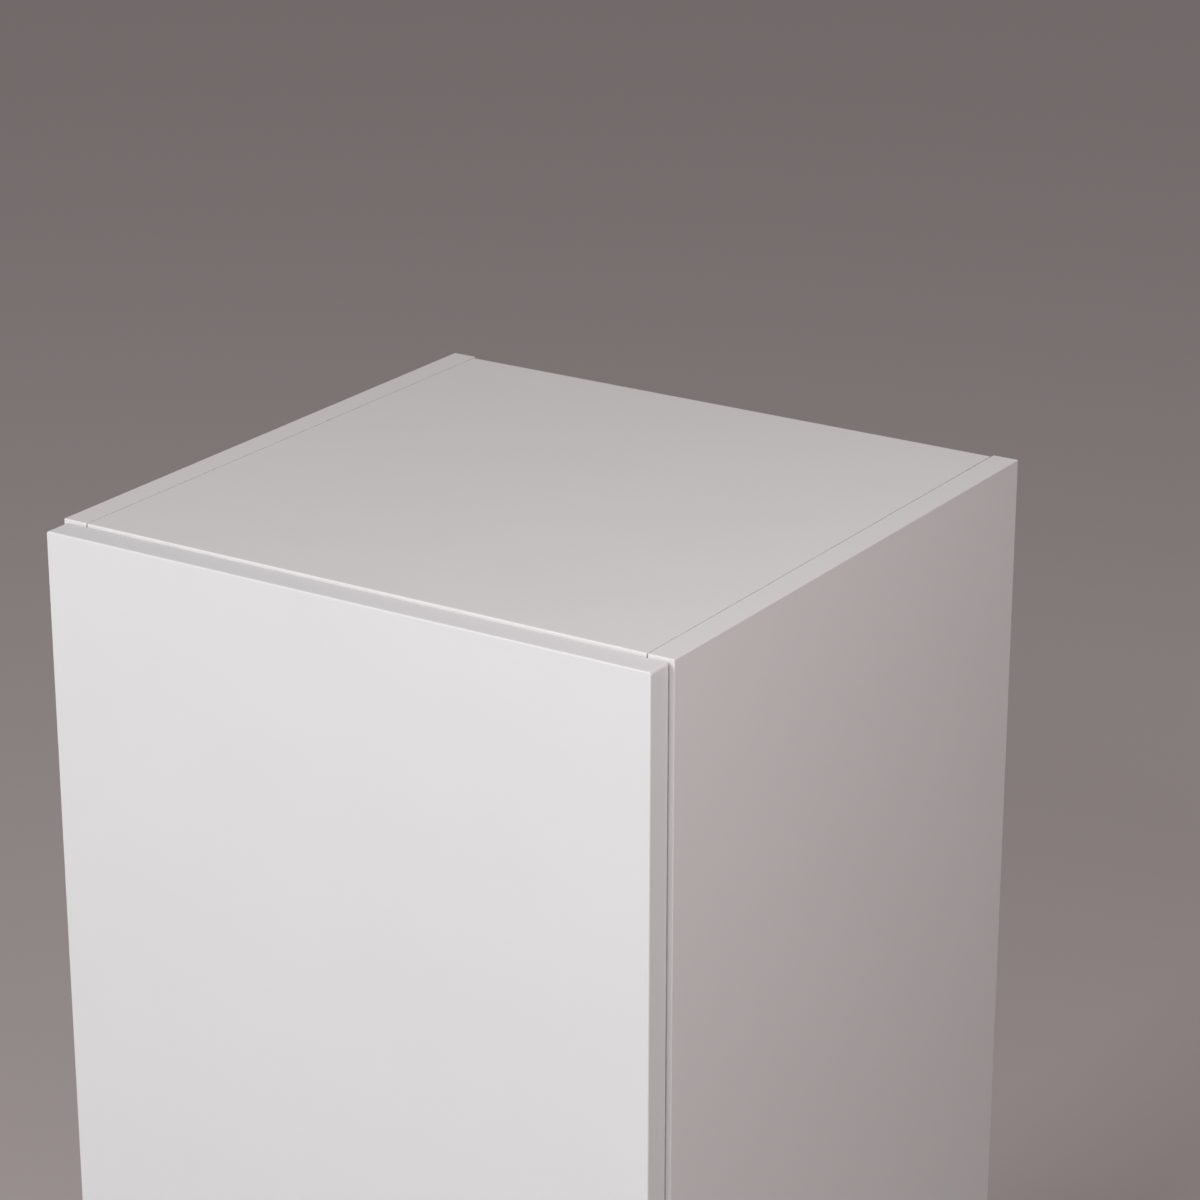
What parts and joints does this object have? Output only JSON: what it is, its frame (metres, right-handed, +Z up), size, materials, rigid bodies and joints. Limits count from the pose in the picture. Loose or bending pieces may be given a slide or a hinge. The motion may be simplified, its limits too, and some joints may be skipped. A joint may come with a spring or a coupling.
{
  "type": "wall cabinet",
  "caption": "Tall white handleless wall cabinet: flat push-to-open door on concealed cup hinges, loose shelves on pins, and adjustable hangers that hook on wall plates.",
  "frame": {"origin": "Centre of the four wall-screw holes, on the plane of the wall.", "axes": "X to the right seen from the room, Y into the wall, Z up."},
  "size_m": [0.4, 0.4, 0.8],
  "materials": {
    "white_board": "white melamine-faced chipboard, satin",
    "white_front": "white faced board, smooth satin",
    "white_back": "white-faced hardboard",
    "bright_steel": "nickel-plated steel",
    "screw_steel": "zinc-plated steel",
    "zinc_alloy": "die-cast zinc alloy",
    "white_plastic": "fine matt moulding",
    "grey_plastic": "fine matt moulding",
    "magnet": "nickel-plated magnet",
    "beech": "plain beech",
    "clear_rubber": "soft translucent bumper"
  },
  "bodies": {
    "cabinet": {"side_panel_left": "white_board", "side_panel_right": "white_board", "top_panel": "white_board", "bottom_panel": "white_board", "back_panel": "white_back", "shelf_upper": "white_board", "shelf_lower": "white_board", "shelf_pins": "bright_steel", "cam_locks": "zinc_alloy", "cam_bolts": "zinc_alloy", "cam_covers": "white_plastic", "dowels": "beech", "hinge_arm_upper": "bright_steel", "hinge_arm_lower": "bright_steel", "hinge_plate_upper": "zinc_alloy", "hinge_plate_lower": "zinc_alloy", "hinge_plate_screws": "screw_steel", "hinge_clamp_screws": "screw_steel", "hinge_adjusting_screws": "screw_steel", "latch_body": "grey_plastic", "latch_end_cap": "grey_plastic", "latch_spring": "screw_steel", "latch_screws": "screw_steel", "hanger_body_left": "zinc_alloy", "hanger_body_right": "zinc_alloy", "hanger_hook_left": "bright_steel", "hanger_hook_right": "bright_steel", "hanger_depth_screws": "screw_steel", "hanger_height_screws": "screw_steel", "hanger_cover_left": "white_plastic", "hanger_cover_right": "white_plastic", "wall_plate_left": "bright_steel", "wall_plate_right": "bright_steel"},
    "door": {"door_panel": "white_front", "door_bumpers": "clear_rubber", "hinge_cup_upper": "bright_steel", "hinge_cup_lower": "bright_steel", "hinge_pin_upper": "bright_steel", "hinge_pin_lower": "bright_steel", "hinge_cup_screws": "screw_steel", "strike_plate": "bright_steel", "strike_screw": "screw_steel"},
    "plunger": {"latch_plunger": "grey_plastic", "latch_magnet": "magnet"}
  },
  "joints": [
    {"name": "door_swing", "type": "hinge", "parent": "cabinet", "child": "door", "pos_m": [-0.19171, -0.3939, -0.3395], "axis": [0, 0, -1], "range_deg": [0, 95]},
    {"name": "plunger_slide", "type": "slide", "parent": "cabinet", "child": "plunger", "axis": [0, -1, 0], "range_m": [0, 0.014]}
  ],
  "couplings": [
    {"joint": "plunger_slide", "follows": "door_swing", "m_per_rad": 0.00844}
  ]
}
